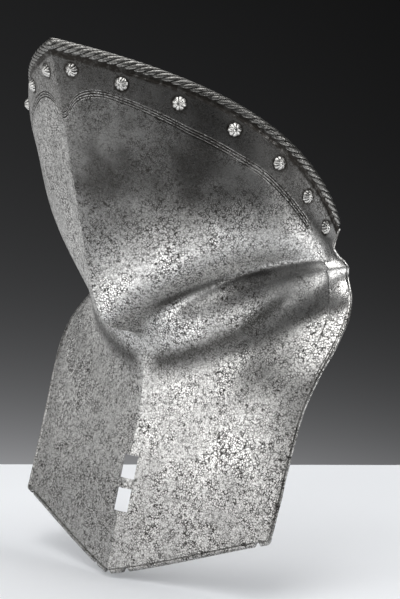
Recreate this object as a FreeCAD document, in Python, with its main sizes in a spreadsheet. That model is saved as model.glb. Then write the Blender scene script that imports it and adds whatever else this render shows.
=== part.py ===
import FreeCAD, Part
import Sketcher
import math
import os
from FreeCAD import Vector, Placement, Rotation

# A steel bevor: one forged plate that guards the chin, throat and upper chest.
# Front faces -Y, up is +Z and the wearer's left is +X, in millimetres.
# The origin is on the lower keel, at the bar between the two staple slots.

doc = FreeCAD.newDocument("bevor")
sheet = doc.addObject("Spreadsheet::Sheet", "sizes")

# Driving sizes
SIZES = [
    ("plate_thickness", 2.0),
    ("roll_radius", 4.2),
    ("roll_stand_out", 0.5),
    ("side_hem_radius", 1.9),
    ("foot_hem_radius", 1.9),
    ("wire_radius", 2.0),
    ("wire_clearance", 0.15),
    ("wire_end_setback", 2.0),
    ("slot_width", 16.0),
    ("slot_height", 16.0),
    ("slot_bar", 7.0),
    ("notch_radius", 1.7),
    ("notch_half_spacing", 16.0),
    ("corner_notch_inset", 7.0),
    ("rivet_place_1", 14.0),
    ("rivet_place_2", 51.5),
    ("rivet_place_3", 93.0),
    ("rivet_place_4", 134.0),
    ("rivet_place_5", 174.0),
    ("rivet_place_6", 208.5),
    ("rivet_place_7", 238.5),
    ("rivet_drop", 9.5),
    ("head_radius", 4.7),
    ("head_height", 2.8),
    ("head_seat_gap", 0.15),
    ("dimple_radius", 1.1),
    ("dimple_depth", 0.9),
    ("petal_count", 8),
    ("petal_groove_radius", 0.55),
    ("shank_radius", 1.6),
    ("shank_clearance", 0.1),
    ("tail_radius", 2.6),
    ("tail_height", 1.2),
    ("band_width", 18.0),
    ("band_thickness", 2.0),
    ("band_gap", 0.3),
    ("band_front_gap", 4.0),
    ("band_rear_margin", 8.0),
    ("washer_radius", 4.6),
    ("washer_thickness", 1.0),
    ("washer_seat_gap", 0.35),
]

# The plate's lines: each level runs from the keel to the side edge.
# keel y, keel z, edge x, edge y, edge z, plan angle at keel, plan angle at edge,
# how far the curve keeps each angle, and the heights it passes there.
LINE_SIZES = (
    "keel_y", "keel_z", "edge_x", "edge_y", "edge_z", "keel_angle", "edge_angle",
    "keel_reach", "edge_reach", "inner_z", "outer_z",
)
LINES = [
    ("rim", -64.5, 305.5, 115, 99.5, 181.5, 17.5, 108.5, 75.5, 77.5, 287.5, 271.5),
    ("border", -58.5, 289, 114.5, 94, 172, 15, 100, 82, 88.5, 280.5, 256),
    ("cheek", -50.5, 246, 116.5, 93.5, 169, 17.5, 98.5, 72.5, 84, 252.5, 236),
    ("bowl", -41, 200, 117, 94, 167, 16.5, 95, 70, 85.5, 218, 214),
    ("jaw", -32, 156, 117.5, 95.5, 165, 18.5, 92, 69.5, 79.5, 186, 196),
    ("chin", -24.5, 127, 118.5, 96.5, 163, 23, 88, 63.5, 68, 160, 182),
    ("under", -14, 113, 120, 98, 161, 36, 84, 58, 62, 148, 174),
    ("crease", 3, 110, 121, 99, 159, 28, 80, 54, 60, 141, 168),
    ("ridge", 15, 107, 122.5, 100.5, 156, 4, 84, 56, 62, 122, 158),
    ("throat", 22.5, 99, 120, 100.5, 150, -4, 84, 56, 52, 102, 142),
    ("shoulder", 20.5, 78, 126.5, 101.5, 134, 6, 70, 52, 52, 82, 122),
    ("flare", 17.5, 55, 138, 70.5, 106, 8, 40, 48, 46, 64, 92),
    ("chest", 12.5, 35, 127.5, 45.5, 72, 10, 26, 44, 44, 46, 66),
    ("slots", -3, -10, 125.5, 32.5, 22, 12, 20, 42, 42, 0, 12),
    ("foot", -15.5, -60, 124.5, 16.5, -23, 13, 15, 42, 42, -51, -34.5),
]

row = 1
for name, value in SIZES:
    sheet.set("A%d" % row, name)
    sheet.set("B%d" % row, str(value))
    sheet.setAlias("B%d" % row, name)
    row += 1
for line in LINES:
    for what, value in zip(LINE_SIZES, line[1:]):
        alias = line[0] + "_" + what
        sheet.set("A%d" % row, alias)
        sheet.set("B%d" % row, str(value))
        sheet.setAlias("B%d" % row, alias)
        row += 1
doc.recompute()


def size(name):
    return float(sheet.get(name))


# Plate surface
def level_poles(level):
    """Four points that steer one level: keel, near the keel, near the edge, edge."""
    value = {what: size(level + "_" + what) for what in LINE_SIZES}
    near = math.radians(value["keel_angle"])
    far = math.radians(value["edge_angle"])
    return [
        Vector(0, value["keel_y"], value["keel_z"]),
        Vector(
            value["keel_reach"] * math.cos(near),
            value["keel_y"] + value["keel_reach"] * math.sin(near),
            value["inner_z"],
        ),
        Vector(
            value["edge_x"] - value["edge_reach"] * math.cos(far),
            value["edge_y"] - value["edge_reach"] * math.sin(far),
            value["outer_z"],
        ),
        Vector(value["edge_x"], value["edge_y"], value["edge_z"]),
    ]


def even_knots(poles):
    spans = poles - 3
    return [i / spans for i in range(spans + 1)], [4] + [1] * (spans - 1) + [4]


def smooth_surface(poles):
    """A cubic surface steered by rows of poles, evenly knotted both ways."""
    down_knots, down_ends = even_knots(len(poles))
    across_knots, across_ends = even_knots(len(poles[0]))
    surface = Part.BSplineSurface()
    surface.buildFromPolesMultsKnots(
        poles, down_ends, across_ends, down_knots, across_knots, False, False, 3, 3
    )
    return surface


ACROSS_SPANS = 8
outer = smooth_surface([level_poles(line[0]) for line in LINES])
for i in range(1, ACROSS_SPANS):
    outer.insertVKnot(i / ACROSS_SPANS, 1, 1e-9)


def strongest(knots, count):
    """Where each pole of a cubic pulls most, from the knots in full."""
    return [sum(knots[i + 1:i + 4]) / 3 for i in range(count)]


outer_poles = outer.getPoles()
downs = strongest(outer.UKnotSequence, len(outer_poles))
acrosses = strongest(outer.VKnotSequence, len(outer_poles[0]))


def outward(down, across):
    """The plate's outward unit normal, down from the rim and across from the keel."""
    normal = outer.normal(down, across)
    if outer.normal(0.3, 0.3).y > 0:
        normal = normal * -1
    return normal


def slope(down, across, down_order, across_order):
    return outer.getDN(down, across, down_order, across_order).normalize()


def onto_medial(shift, along):
    """Slides a shift along a direction until it lies in the medial plane."""
    return shift - along * (shift.x / along.x)


def inside_shift(down, across, depth):
    """The step from the outer face to a depth under it, mitred on the keel."""
    normal = outward(down, across)
    if across == 0:
        flat = Vector(0, normal.y, normal.z)
        return flat * (-depth / flat.dot(flat))
    return normal * -depth


def steered_at_depth(depth):
    """The plate's face moved inwards by a depth, with the same knots."""
    rows = []
    for down, poles in zip(downs, outer_poles):
        rows.append([
            pole + inside_shift(down, across, depth) for across, pole in zip(acrosses, poles)
        ])
    surface = outer.copy()
    for i, poles in enumerate(rows):
        for j, pole in enumerate(poles):
            surface.setPole(i + 1, j + 1, pole)
    return surface


thickness = size("plate_thickness")
inner = steered_at_depth(thickness)
inner_poles = inner.getPoles()


# Turned edges
def hem_surface(profile, outer_line, inner_line, frames, knots, mults):
    """A turned edge: a profile of (outwards, beyond the border) carried along a border."""
    rows = [outer_line]
    for out, beyond in profile:
        row = []
        for pole, (normal, away, along, on_keel) in zip(outer_line, frames):
            shift = normal * out + away * beyond
            if on_keel:
                shift = onto_medial(shift, along)
            row.append(pole + shift)
        rows.append(row)
    rows.append(inner_line)
    profile_knots, profile_mults = even_knots(len(rows))
    surface = Part.BSplineSurface()
    surface.buildFromPolesMultsKnots(
        rows, profile_mults, mults, profile_knots, knots, False, False, 3, 3
    )
    return surface


def border_frames(places, side):
    """Normal, direction off the plate and direction along, at the poles of one border."""
    frames = []
    for place in places:
        if side == "edge":
            down, across = place, 1.0
            along = slope(down, across, 1, 0)
            into = slope(down, across, 0, 1) * -1
        else:
            down, across = (0.0 if side == "rim" else 1.0), place
            along = slope(down, across, 0, 1)
            into = slope(down, across, 1, 0) * (1 if side == "rim" else -1)
        normal = outward(down, across)
        away = normal.cross(along)
        if away.dot(into) > 0:
            away = away * -1
        frames.append((normal, away, along, side != "edge" and across == 0))
    return frames


def ring_profile(radius, centre_out, centre_beyond, start, stop, steps):
    """Points round a bead, set a little wide so that the smooth curve has the radius."""
    turn = (stop - start) / steps
    wide = radius * 3 / (2 + math.cos(math.radians(turn)))
    points = []
    for i in range(steps + 1):
        angle = math.radians(start + turn * i)
        points.append((
            centre_out + wide * math.cos(angle), centre_beyond + wide * math.sin(angle),
        ))
    return points


across_knots = outer.getVKnots()
across_mults = outer.getVMultiplicities()
down_knots = outer.getUKnots()
down_mults = outer.getUMultiplicities()

roll_radius = size("roll_radius")
roll_out = size("roll_stand_out") - roll_radius
roll_beyond = math.sqrt(roll_radius ** 2 - (roll_out + thickness) ** 2)
roll_profile = [(0, 0.5)] + ring_profile(roll_radius, roll_out, roll_beyond, -20, 250, 9)
rim_frames = border_frames(acrosses, "rim")
roll_face = hem_surface(
    roll_profile, outer_poles[0], inner_poles[0], rim_frames, across_knots, across_mults
)


def hem_profile(radius):
    reach = math.sqrt(radius ** 2 - (thickness / 2) ** 2)
    return ring_profile(radius, -thickness / 2, reach, -40, 220, 6)


foot_frames = border_frames(acrosses, "foot")
foot_face = hem_surface(
    hem_profile(size("foot_hem_radius")), outer_poles[-1], inner_poles[-1],
    foot_frames, across_knots, across_mults,
)
edge_frames = border_frames(downs, "edge")
edge_face = hem_surface(
    hem_profile(size("side_hem_radius")), [row[-1] for row in outer_poles],
    [row[-1] for row in inner_poles], edge_frames, down_knots, down_mults,
)


def flat_face(curves):
    """The flat face inside a closed loop of curves."""
    return Part.Face(Part.Wire(Part.__sortEdges__([curve.toShape() for curve in curves])))


def line_between(a, b):
    return Part.LineSegment(a, b)


rear_top = line_between(outer_poles[0][-1], inner_poles[0][-1])
rear_foot = line_between(outer_poles[-1][-1], inner_poles[-1][-1])
keel_face = flat_face([
    outer.vIso(0.0), roll_face.vIso(0.0), inner.vIso(0.0), foot_face.vIso(0.0),
])
faces = [
    outer.toShape(), inner.toShape(), roll_face.toShape(), foot_face.toShape(),
    edge_face.toShape(), keel_face,
    flat_face([roll_face.vIso(1.0), rear_top]),
    flat_face([edge_face.vIso(0.0), rear_top]),
    flat_face([edge_face.vIso(1.0), rear_foot]),
    flat_face([foot_face.vIso(1.0), rear_foot]),
]
shell = Part.makeShell(faces)
shell.sewShape()
solid = Part.makeSolid(shell.Shells[0])
if solid.Volume < 0:
    solid.reverse()
half_blank = doc.addObject("Part::Feature", "half_blank")
half_blank.Shape = solid


# Rim wire and its bore
def rim_line():
    """The centre line of the rolled rim, on the poles of the rim itself."""
    points = []
    for pole, (normal, away, along, on_keel) in zip(outer_poles[0], rim_frames):
        shift = normal * roll_out + away * roll_beyond
        if on_keel:
            shift = onto_medial(shift, along)
        points.append(pole + shift)
    curve = Part.BSplineCurve()
    curve.buildFromPolesMultsKnots(points, across_mults, across_knots, False, 3)
    return curve


def rod_beside_keel(radius, past_end, lead=12.0):
    """A round rod along the rim line, cut off square on the medial plane."""
    curve = rim_line()
    start = curve.value(0.0)
    heading = curve.tangent(0.0)[0]
    before = start - heading * lead
    rear = curve.value(1.0)
    edges = [Part.makeLine(before, start)]
    if past_end >= 0:
        edges.append(curve.toShape())
        edges.append(Part.makeLine(rear, rear + curve.tangent(1.0)[0] * (past_end + 0.01)))
    else:
        stop = curve.parameterAtDistance(curve.length() + past_end, 0.0)
        edges.append(curve.toShape(0.0, stop))
    ring = Part.Wire([Part.makeCircle(radius, before, heading)])
    rod = Part.Wire(edges).makePipeShell([ring], True, True)
    far_side = Part.makeBox(100, 400, 400, Vector(-100, -200, 100))
    return rod.cut(far_side)


wire_bore = doc.addObject("Part::Feature", "wire_bore")
wire_bore.Shape = rod_beside_keel(size("wire_radius") + size("wire_clearance"), 5.0)
half_wire = doc.addObject("Part::Feature", "half_wire")
half_wire.Shape = rod_beside_keel(size("wire_radius"), -size("wire_end_setback"))


def mirrored(source, name):
    other = doc.addObject("Part::Mirroring", name)
    other.Source = source
    other.Normal = Vector(1, 0, 0)
    other.Base = Vector(0, 0, 0)
    return other


rim_wire = doc.addObject("Part::MultiFuse", "rim_wire")
rim_wire.Shapes = [half_wire, mirrored(half_wire, "half_wire_right")]
rim_wire.Refine = True


# Rivet places
rim_border = outer.uIso(0.0)


def below_rim(across, drop):
    """How far down the plate's own lines a point lies at a drop from the rim border."""
    low, high = 0.0, 0.6
    for _ in range(40):
        middle = (low + high) / 2
        point = outer.value(middle, across)
        nearest = rim_border.value(rim_border.parameter(point))
        if point.distanceToPoint(nearest) < drop:
            low = middle
        else:
            high = middle
    return low


def line_below_rim(drop, steps=90):
    """Points at one drop from the rim border, each with its length along the line."""
    line = []
    length = 0.0
    for i in range(steps + 1):
        across = i / steps
        down = below_rim(across, drop)
        point = outer.value(down, across)
        if line:
            length += point.distanceToPoint(line[-1][3])
        line.append((length, down, across, point))
    return line


def at_length(line, wanted):
    """The (down, across) pair at a length along a line."""
    for first, second in zip(line, line[1:]):
        if second[0] >= wanted:
            share = (wanted - first[0]) / (second[0] - first[0])
            across = first[2] + (second[2] - first[2]) * share
            return across
    return line[-1][2]


RIVETS = 7
rivet_drop = size("rivet_drop")
rivet_line = line_below_rim(rivet_drop)
rivet_places = []
for i in range(RIVETS):
    across = at_length(rivet_line, size("rivet_place_%d" % (i + 1)))
    down = below_rim(across, rivet_drop)
    normal = outward(down, across)
    along = slope(down, across, 0, 1)
    rivet_places.append((outer.value(down, across), normal, along))


def seat(point, normal, along, side):
    """A placement on the plate's outer face: Z outwards, X along the rim."""
    if side == "right":
        point = Vector(-point.x, point.y, point.z)
        normal = Vector(-normal.x, normal.y, normal.z)
        along = Vector(-along.x, along.y, along.z)
    across_rim = normal.cross(along)
    return Placement(point, Rotation(along, across_rim, normal, "ZXY"))


# Cuts in the plate
def bound_box(name, width, depth, height, corner):
    box = doc.addObject("Part::Box", name)
    box.setExpression("Length", width)
    box.setExpression("Width", depth)
    box.setExpression("Height", height)
    for axis, expression in zip("xyz", corner):
        box.setExpression("Placement.Base." + axis, expression)
    return box


def bound_cylinder(name, radius, length, placement):
    cylinder = doc.addObject("Part::Cylinder", name)
    cylinder.setExpression("Radius", radius)
    cylinder.Height = length
    cylinder.Placement = placement
    return cylinder


SLOT_CUT = "60"
cutters = [wire_bore]
cutters.append(bound_box(
    "upper_slot", "sizes.slot_width / 2 + 5", SLOT_CUT, "sizes.slot_height",
    ("-5", "-%s / 2" % SLOT_CUT, "sizes.slot_bar / 2"),
))
cutters.append(bound_box(
    "lower_slot", "sizes.slot_width / 2 + 5", SLOT_CUT, "sizes.slot_height",
    ("-5", "-%s / 2" % SLOT_CUT, "-sizes.slot_bar / 2 - sizes.slot_height"),
))

CUT_LENGTH = 16.0


def through(point, normal):
    """A placement for a cutter that passes through the plate along its normal."""
    return Placement(point + normal * (CUT_LENGTH / 2), Rotation(Vector(0, 0, -1), normal))


for i, (point, normal, along) in enumerate(rivet_places):
    cutters.append(bound_cylinder(
        "rivet_hole_%d" % (i + 1), "sizes.shank_radius + sizes.shank_clearance",
        CUT_LENGTH, through(point, normal),
    ))


def foot_point(across):
    normal = outward(1.0, across)
    along = slope(1.0, across, 0, 1)
    away = normal.cross(along)
    if away.z > 0:
        away = away * -1
    radius = size("foot_hem_radius")
    reach = math.sqrt(radius ** 2 - (thickness / 2) ** 2) + radius
    return outer.value(1.0, across) + away * reach, normal


foot_curve = outer.uIso(1.0)
foot_length = foot_curve.length()
middle_notch = foot_curve.parameterAtDistance(size("notch_half_spacing"), 0.0)
corner_notch = foot_curve.parameterAtDistance(foot_length - size("corner_notch_inset"), 0.0)
NOTCHES = (("keel_notch", 0.0), ("side_notch", middle_notch), ("corner_notch", corner_notch))
for name, across in NOTCHES:
    point, normal = foot_point(across)
    if across == 0.0:
        point = Vector(0, point.y, point.z)
        normal = Vector(0, normal.y, normal.z).normalize()
    cutters.append(bound_cylinder(
        name, "sizes.notch_radius", CUT_LENGTH, through(point, normal),
    ))

half_plate = doc.addObject("Part::Cut", "half_plate")
half_plate.Base = half_blank
cut_group = doc.addObject("Part::Compound", "cutters")
cut_group.Links = cutters
half_plate.Tool = cut_group
bevor_plate = doc.addObject("Part::MultiFuse", "bevor_plate")
bevor_plate.Shapes = [half_plate, mirrored(half_plate, "half_plate_right")]
bevor_plate.Refine = True
doc.recompute()


# Lining bands
def lining_band():
    """A strip of leather inside the rim, pierced for the rivet shanks."""
    line = line_below_rim(rivet_drop, 40)
    first = size("band_front_gap")
    last = size("rivet_place_7") + size("band_rear_margin")
    half = size("band_width") / 2
    near_depth = thickness + size("band_gap")
    far_depth = near_depth + size("band_thickness")
    near_rows = []
    far_rows = []
    stations = 26
    for i in range(stations):
        across = at_length(line, first + (last - first) * i / (stations - 1))
        near_row = []
        far_row = []
        for j in range(4):
            drop = rivet_drop - half + 2 * half * j / 3
            down = below_rim(across, drop)
            point = outer.value(down, across)
            normal = outward(down, across)
            near_row.append(point - normal * near_depth)
            far_row.append(point - normal * far_depth)
        near_rows.append(near_row)
        far_rows.append(far_row)
    near = smooth_surface(near_rows)
    far = smooth_surface(far_rows)
    walls = [near.toShape(), far.toShape()]
    for a, b in (
        (near.uIso(0.0), far.uIso(0.0)), (near.uIso(1.0), far.uIso(1.0)),
        (near.vIso(0.0), far.vIso(0.0)), (near.vIso(1.0), far.vIso(1.0)),
    ):
        walls.append(strip(a, b))
    shell = Part.makeShell(walls)
    shell.sewShape()
    band = Part.makeSolid(shell.Shells[0])
    if band.Volume < 0:
        band.reverse()
    for point, normal, along in rivet_places:
        radius = size("shank_radius") + size("shank_clearance")
        above = point + normal * CUT_LENGTH
        band = band.cut(Part.makeCylinder(radius, 2 * CUT_LENGTH, above, normal * -1))
    return band


def strip(a, b):
    """A ruled strip between two curves with the same knots."""
    surface = Part.BSplineSurface()
    surface.buildFromPolesMultsKnots(
        [a.getPoles(), b.getPoles()], [2, 2], a.getMultiplicities(),
        [0.0, 1.0], a.getKnots(), False, False, 1, 3,
    )
    return surface.toShape()


band_left = doc.addObject("Part::Feature", "lining_band_left")
band_left.Shape = lining_band()
band_right = mirrored(band_left, "lining_band_right")


# Rivets and washers
def origin_feature(body, role):
    for feature in body.Origin.OriginFeatures:
        if feature.Role == role:
            return feature


def sketch_on(body, role, name):
    sketch = body.newObject("Sketcher::SketchObject", name)
    sketch.AttachmentSupport = [(origin_feature(body, role), "")]
    sketch.MapMode = "FlatFace"
    return sketch


def pin(sketch, geometry, end, name, x_expression, y_expression):
    """Holds a point of a sketch at distances from the origin taken from the sheet."""
    point = sketch.getPoint(geometry, end)
    for kind, value, expression in (("X", point.x, x_expression), ("Y", point.y, y_expression)):
        if expression is None:
            continue
        if expression == "0":
            line = -2 if kind == "X" else -1
            sketch.addConstraint(Sketcher.Constraint("PointOnObject", geometry, end, line))
            continue
        label = name + "_" + kind.lower()
        sketch.addConstraint(Sketcher.Constraint("Distance" + kind, -1, 1, geometry, end, value))
        sketch.renameConstraint(sketch.ConstraintCount - 1, label)
        sketch.setExpression("Constraints." + label, expression)


SHANK_END = (
    "sizes.plate_thickness + sizes.band_gap + sizes.band_thickness"
    " + sizes.washer_seat_gap + sizes.washer_thickness"
)
DOME = "((sizes.head_radius ^ 2 + sizes.head_height ^ 2) / (2 * sizes.head_height))"


def rosette_rivet(label, placement):
    """A domed rivet head with petals and a dimple, its shank, and the tail peened inside."""
    body = doc.addObject("PartDesign::Body", label)
    body.Label = label
    profile = sketch_on(body, "XZ_Plane", label + "_profile")
    seat_gap = size("head_seat_gap")
    shank_end = thickness + size("band_gap") + size("band_thickness")
    shank_end += size("washer_seat_gap") + size("washer_thickness")
    head_radius, head_height = size("head_radius"), size("head_height")
    dome = (head_radius ** 2 + head_height ** 2) / (2 * head_height)
    centre = seat_gap + head_height - dome
    dimple = size("dimple_radius")
    lip = centre + math.sqrt(dome ** 2 - dimple ** 2)
    corners = [
        (0, lip - size("dimple_depth")),
        (0, -shank_end - size("tail_height")),
        (size("tail_radius") / 2, -shank_end - size("tail_height")),
        (size("tail_radius"), -shank_end),
        (size("shank_radius"), -shank_end),
        (size("shank_radius"), seat_gap),
        (head_radius, seat_gap),
        (dimple, lip),
    ]
    for i, (a, b) in enumerate(zip(corners, corners[1:] + corners[:1])):
        start, end = Vector(a[0], a[1], 0), Vector(b[0], b[1], 0)
        if i == 6:
            circle = Part.Circle(Vector(0, centre, 0), Vector(0, 0, 1), dome)
            low = math.atan2(a[1] - centre, a[0])
            high = math.atan2(b[1] - centre, b[0])
            profile.addGeometry(Part.ArcOfCircle(circle, low, high), False)
        else:
            profile.addGeometry(Part.LineSegment(start, end), False)
    for i in range(8):
        end_of_one = 2
        profile.addConstraint(Sketcher.Constraint("Coincident", i, end_of_one, (i + 1) % 8, 1))
    shank = "-(" + SHANK_END + ")"
    tail = shank + " - sizes.tail_height"
    pin(profile, 0, 1, "dimple", "0", None)
    pin(profile, 1, 1, "tail_tip", "0", tail)
    pin(profile, 2, 1, "tail_flat", "sizes.tail_radius / 2", tail)
    pin(profile, 3, 1, "tail_rim", "sizes.tail_radius", shank)
    pin(profile, 4, 1, "shank_foot", "sizes.shank_radius", shank)
    pin(profile, 5, 1, "shank_top", "sizes.shank_radius", "sizes.head_seat_gap")
    pin(profile, 6, 1, "head_rim", "sizes.head_radius", "sizes.head_seat_gap")
    pin(profile, 7, 1, "lip", "sizes.dimple_radius", None)
    pin(profile, 6, 3, "dome", "0", "sizes.head_seat_gap + sizes.head_height - " + DOME)
    profile.addConstraint(Sketcher.Constraint("DistanceY", 0, 1, 7, 1, size("dimple_depth")))
    profile.renameConstraint(profile.ConstraintCount - 1, "dimple_depth")
    profile.setExpression("Constraints.dimple_depth", "sizes.dimple_depth")
    turned = body.newObject("PartDesign::Revolution", label + "_turned")
    turned.Profile = profile
    turned.ReferenceAxis = (profile, ["V_Axis"])
    turned.Angle = 360
    round_cut = sketch_on(body, "YZ_Plane", label + "_petal")
    round_cut.AttachmentOffset = Placement(Vector(0, centre, 0), Rotation())
    round_cut.setExpression(
        "AttachmentOffset.Base.y", "sizes.head_seat_gap + sizes.head_height - " + DOME
    )
    round_cut.addGeometry(
        Part.Circle(Vector(0, dome, 0), Vector(0, 0, 1), size("petal_groove_radius")), False
    )
    pin(round_cut, 0, 3, "groove", "0", DOME)
    round_cut.addConstraint(Sketcher.Constraint("Radius", 0, size("petal_groove_radius")))
    round_cut.renameConstraint(round_cut.ConstraintCount - 1, "groove_radius")
    round_cut.setExpression("Constraints.groove_radius", "sizes.petal_groove_radius")
    groove = body.newObject("PartDesign::Groove", label + "_groove")
    groove.Profile = round_cut
    groove.ReferenceAxis = (round_cut, ["H_Axis"])
    groove.Angle = 75
    petals = body.newObject("PartDesign::PolarPattern", label + "_petals")
    petals.Originals = [groove]
    petals.Axis = (origin_feature(body, "Z_Axis"), [""])
    petals.Angle = 360
    petals.setExpression("Occurrences", "sizes.petal_count")
    body.Tip = petals
    body.Placement = placement
    return body


def washer(label, placement):
    """A thin ring that the rivet's tail closes on, against the leather."""
    body = doc.addObject("PartDesign::Body", label)
    body.Label = label
    ring = sketch_on(body, "XY_Plane", label + "_ring")
    top = "-(sizes.plate_thickness + sizes.band_gap + sizes.band_thickness + sizes.washer_seat_gap)"
    ring.setExpression("AttachmentOffset.Base.z", top)
    for radius, alias in (
        (size("washer_radius"), "sizes.washer_radius"),
        (size("shank_radius") + size("shank_clearance"), "sizes.shank_radius + sizes.shank_clearance"),
    ):
        number = ring.addGeometry(Part.Circle(Vector(0, 0, 0), Vector(0, 0, 1), radius), False)
        ring.addConstraint(Sketcher.Constraint("Coincident", number, 3, -1, 1))
        ring.addConstraint(Sketcher.Constraint("Radius", number, radius))
        name = "radius_%d" % number
        ring.renameConstraint(ring.ConstraintCount - 1, name)
        ring.setExpression("Constraints." + name, alias)
    pad = body.newObject("PartDesign::Pad", label + "_pad")
    pad.Profile = ring
    pad.Reversed = True
    pad.setExpression("Length", "sizes.washer_thickness")
    body.Tip = pad
    body.Placement = placement
    return body


pieces = [bevor_plate, rim_wire, band_left, band_right]
for side in ("left", "right"):
    for i, (point, normal, along) in enumerate(rivet_places):
        placement = seat(point, normal, along, side)
        pieces.append(rosette_rivet("lining_rivet_%s_%d" % (side, i + 1), placement))
        pieces.append(washer("rivet_washer_%s_%d" % (side, i + 1), placement))
doc.recompute()


# Checks and files
for item in doc.Objects:
    if "Invalid" in item.State or "Error" in item.State:
        raise ValueError(item.Name + " did not build: " + str(item.State))
for piece in pieces:
    shape = piece.Shape
    if shape.isNull() or not shape.isValid():
        raise ValueError(piece.Name + " has no valid shape")
    if len(shape.Solids) != 1:
        raise ValueError("%s has %d solids" % (piece.Name, len(shape.Solids)))
for i in range(1, RIVETS + 1):
    turned = doc.getObject("lining_rivet_left_%d_turned" % i)
    petals = doc.getObject("lining_rivet_left_%d_petals" % i)
    if petals.Shape.Volume > turned.Shape.Volume - 1:
        raise ValueError("the petal grooves cut nothing")
if half_plate.Shape.Volume > half_blank.Shape.Volume - 200:
    raise ValueError("the slots, holes and bore cut too little")

os.makedirs("parts", exist_ok=True)
for piece in pieces:
    piece.Shape.exportStep("parts/" + piece.Label + ".step")
    box = piece.Shape.BoundBox
    print("%-24s %10.1f mm3  x %.1f %.1f  y %.1f %.1f  z %.1f %.1f" % (
        piece.Label, piece.Shape.Volume,
        box.XMin, box.XMax, box.YMin, box.YMax, box.ZMin, box.ZMax,
    ))
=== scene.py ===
import math

import bmesh
import bpy
import numpy as np
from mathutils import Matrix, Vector


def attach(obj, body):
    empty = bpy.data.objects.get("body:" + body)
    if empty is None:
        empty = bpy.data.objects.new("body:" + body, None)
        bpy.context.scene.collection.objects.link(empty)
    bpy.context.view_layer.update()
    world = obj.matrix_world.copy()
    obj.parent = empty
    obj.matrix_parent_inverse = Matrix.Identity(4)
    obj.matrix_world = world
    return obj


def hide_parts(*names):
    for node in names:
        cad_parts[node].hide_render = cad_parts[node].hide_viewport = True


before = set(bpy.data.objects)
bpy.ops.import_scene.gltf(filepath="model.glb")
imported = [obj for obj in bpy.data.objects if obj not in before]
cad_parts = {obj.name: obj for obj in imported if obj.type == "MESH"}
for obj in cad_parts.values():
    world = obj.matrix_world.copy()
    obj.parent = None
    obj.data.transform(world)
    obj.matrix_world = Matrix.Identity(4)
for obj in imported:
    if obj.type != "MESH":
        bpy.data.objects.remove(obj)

# A forged steel bevor with a roped rim, rosette lining rivets and two staple slots.
# Metres, front -Y, up +Z, wearer's left +X. The plate is mirrored on x = 0.

MM = 0.001
RNG = np.random.default_rng(41)
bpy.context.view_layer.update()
BODY = "root"


# Plate lines

# Each level steers the plate from the keel to the side edge, in mm and degrees:
# keel y, keel z, edge x, edge y, edge z, plan angle at the keel, plan angle at the edge,
# how far the curve keeps each angle, and the heights that it passes there.
LEVELS = {
    "rim": (-64.5, 305.5, 115, 99.5, 181.5, 17.5, 108.5, 75.5, 77.5, 287.5, 271.5),
    "border": (-58.5, 289, 114.5, 94, 172, 15, 100, 82, 88.5, 280.5, 256),
    "cheek": (-50.5, 246, 116.5, 93.5, 169, 17.5, 98.5, 72.5, 84, 252.5, 236),
    "bowl": (-41, 200, 117, 94, 167, 16.5, 95, 70, 85.5, 218, 214),
    "jaw": (-32, 156, 117.5, 95.5, 165, 18.5, 92, 69.5, 79.5, 186, 196),
    "chin": (-24.5, 127, 118.5, 96.5, 163, 23, 88, 63.5, 68, 160, 182),
    "under": (-14, 113, 120, 98, 161, 36, 84, 58, 62, 148, 174),
    "crease": (3, 110, 121, 99, 159, 28, 80, 54, 60, 141, 168),
    "ridge": (15, 107, 122.5, 100.5, 156, 4, 84, 56, 62, 122, 158),
    "throat": (22.5, 99, 120, 100.5, 150, -4, 84, 56, 52, 102, 142),
    "shoulder": (20.5, 78, 126.5, 101.5, 134, 6, 70, 52, 52, 82, 122),
    "flare": (17.5, 55, 138, 70.5, 106, 8, 40, 48, 46, 64, 92),
    "chest": (12.5, 35, 127.5, 45.5, 72, 10, 26, 44, 44, 46, 66),
    "slots": (-3, -10, 125.5, 32.5, 22, 12, 20, 42, 42, 0, 12),
    "foot": (-15.5, -60, 124.5, 16.5, -23, 13, 15, 42, 42, -51, -34.5),
}
THICKNESS = 2.0
ROLL_RADIUS = 4.2
ROLL_STAND_OUT = 0.5
HEM_RADIUS = 1.9
RIVET_DROP = 9.5
RIVET_PLACES = (14.0, 51.5, 93.0, 134.0, 174.0, 208.5, 238.5)
SLOT_HALF_WIDTH = 8.0
SLOT_EDGES = (19.5, 3.5, -3.5, -19.5)


def level_points():
    """Four steering points per level: keel, near the keel, near the edge, edge."""
    v = np.array(list(LEVELS.values()), float)
    keel_y, keel_z, edge_x, edge_y, edge_z = v[:, :5].T
    near, far = np.radians(v[:, 5]), np.radians(v[:, 6])
    keel_reach, edge_reach, inner_z, outer_z = v[:, 7:].T
    return np.stack([
        np.stack([0 * keel_y, keel_y, keel_z], 1),
        np.stack([keel_reach * np.cos(near), keel_y + keel_reach * np.sin(near), inner_z], 1),
        np.stack([
            edge_x - edge_reach * np.cos(far), edge_y - edge_reach * np.sin(far), outer_z,
        ], 1),
        np.stack([edge_x, edge_y, edge_z], 1),
    ], 1)


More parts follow.
